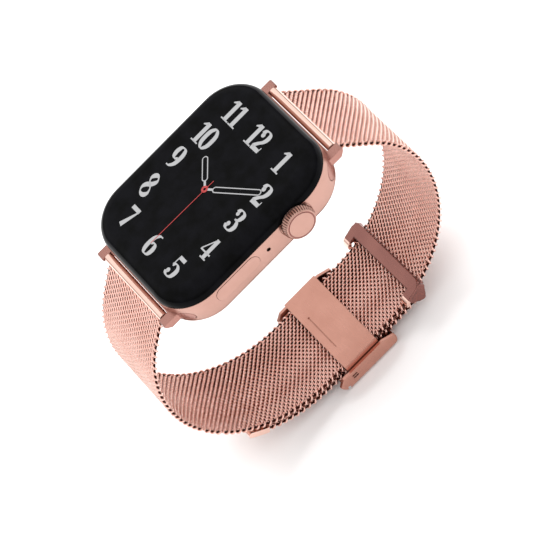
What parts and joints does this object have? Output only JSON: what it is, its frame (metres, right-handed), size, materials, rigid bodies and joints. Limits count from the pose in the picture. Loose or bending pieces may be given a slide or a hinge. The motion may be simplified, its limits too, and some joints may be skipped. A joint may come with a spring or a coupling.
{
  "type": "smartwatch",
  "caption": "Rounded rectangular smartwatch with a turning crown, side button and a closed woven steel mesh band with ring loop and flip-cover slider buckle.",
  "frame": {"origin": "centre of the flat outer face of the closed buckle cover, on which the closed band stands upright", "axes": "+X towards the crown, +Y towards the twelve o'clock end along the band, +Z out of the display"},
  "size_m": [0.0401, 0.0718, 0.0592],
  "materials": {
    "rose_aluminium": "bead-blasted anodised rose gold",
    "rose_dark": "darker rose gold",
    "rose_steel": "polished rose gold plated steel",
    "rose_brushed": "fine satin rose gold plated steel",
    "woven_steel": "woven rose gold plated steel wire",
    "cover_glass": "black-bordered polished glass",
    "sensor_glass": "dark polished lens",
    "display": "unlit display",
    "back_ceramic": "glossy dark ceramic",
    "rubber": "matt",
    "flex_film": "amber flexible circuit",
    "steel": "satin",
    "battery_foil": "dark laminated foil",
    "circuit_board": "solder mask",
    "copper": "enamelled wire",
    "black_plastic": "moulded",
    "led_lens": "clear lens over green emitters"
  },
  "bodies": {
    "watch": {"case_shell": "rose_aluminium", "front_glass": "cover_glass", "back_cover": "back_ceramic", "sensor_window": "sensor_glass", "display_panel": "display", "display_gasket": "rubber", "display_flex": "flex_film", "antenna_frame": "steel", "connector_bracket": "steel", "frame_screws": "steel", "battery": "battery_foil", "logic_board": "circuit_board", "chip_shield": "steel", "haptic_engine": "steel", "speaker_module": "black_plastic", "microphone": "steel", "crown_bush": "steel", "crown_seal": "rubber", "crown_encoder": "black_plastic", "crown_switch": "steel", "side_switch": "steel", "back_seal": "rubber", "charging_coil": "copper", "sensor_board": "circuit_board", "sensor_leds": "led_lens"},
    "crown_plunger": {"crown_push_plate": "steel"},
    "crown": {"crown_wheel": "rose_aluminium", "crown_ring": "rose_dark", "crown_cap": "rose_aluminium", "crown_shaft": "steel", "crown_clip": "steel"},
    "side_button": {"side_button": "rose_aluminium"},
    "release_12": {"release_button_12": "rose_dark"},
    "release_6": {"release_button_6": "rose_dark"},
    "lug_12": {"adapter_12": "rose_steel", "pin_12": "steel"},
    "lug_6": {"adapter_6": "rose_steel", "pin_6": "steel"},
    "short_strap": {"ferrule_12": "rose_steel", "mesh_short": "woven_steel", "ring_loop": "rose_brushed"},
    "long_strap_upper": {"ferrule_6": "rose_steel", "mesh_long_upper": "woven_steel", "flex_wire": "woven_steel"},
    "long_strap_lower": {"mesh_long_lower": "woven_steel", "tail_tip": "rose_steel"},
    "slider": {"buckle_base": "rose_brushed"},
    "flip_cover": {"buckle_cover": "rose_brushed", "buckle_pins": "steel", "clamp_pad": "steel"}
  },
  "joints": [
    {"name": "crown_press", "type": "slide", "parent": "watch", "child": "crown_plunger", "axis": [-1, 0, 0], "range_m": [0, 0.0003], "stiffness_N_per_m": 900},
    {"name": "crown_spin", "type": "hinge", "parent": "crown_plunger", "child": "crown", "pos_m": [0.0201, 0.0085, 0.054], "axis": [1, 0, 0], "continuous": true},
    {"name": "side_button_press", "type": "slide", "parent": "watch", "child": "side_button", "axis": [-1, 0, 0], "range_m": [0, 0.0003], "stiffness_N_per_m": 900},
    {"name": "release_12_press", "type": "slide", "parent": "watch", "child": "release_12", "axis": [0, 0, 1], "range_m": [0, 0.0005], "stiffness_N_per_m": 700},
    {"name": "release_6_press", "type": "slide", "parent": "watch", "child": "release_6", "axis": [0, 0, 1], "range_m": [0, 0.0005], "stiffness_N_per_m": 700},
    {"name": "band_slide", "type": "slide", "parent": "watch", "child": "lug_6", "axis": [1, 0, 0], "range_m": [-0.032, 0.032]},
    {"name": "band_slide_12", "type": "slide", "parent": "watch", "child": "lug_12", "axis": [1, 0, 0], "range_m": [-0.032, 0.032]},
    {"name": "strap_6_pivot", "type": "hinge", "parent": "lug_6", "child": "long_strap_upper", "pos_m": [0, -0.0233, 0.0527], "axis": [1, 0, 0], "range_deg": [-4, 4]},
    {"name": "strap_flex", "type": "hinge", "parent": "long_strap_upper", "child": "long_strap_lower", "pos_m": [0, -0.03406, 0.01862], "axis": [1, 0, 0], "range_deg": [-4, 4]},
    {"name": "strap_12_pivot", "type": "hinge", "parent": "lug_12", "child": "short_strap", "pos_m": [0, 0.0233, 0.0527], "axis": [1, 0, 0], "range_deg": [-4, 4]},
    {"name": "buckle_slide", "type": "slide", "parent": "long_strap_lower", "child": "slider", "axis": [0, 1, 0], "range_m": [-0.0055, 0.0005]},
    {"name": "cover_flip", "type": "hinge", "parent": "slider", "child": "flip_cover", "pos_m": [0, -0.0084, 0.00105], "axis": [-1, 0, 0], "range_deg": [0, 100]}
  ],
  "couplings": [
    {"joint": "band_slide_12", "follows": "band_slide", "ratio": 1},
    {"joint": "strap_flex", "follows": "strap_6_pivot", "ratio": -0.9006},
    {"joint": "strap_12_pivot", "follows": "strap_6_pivot", "ratio": 0.7315}
  ]
}
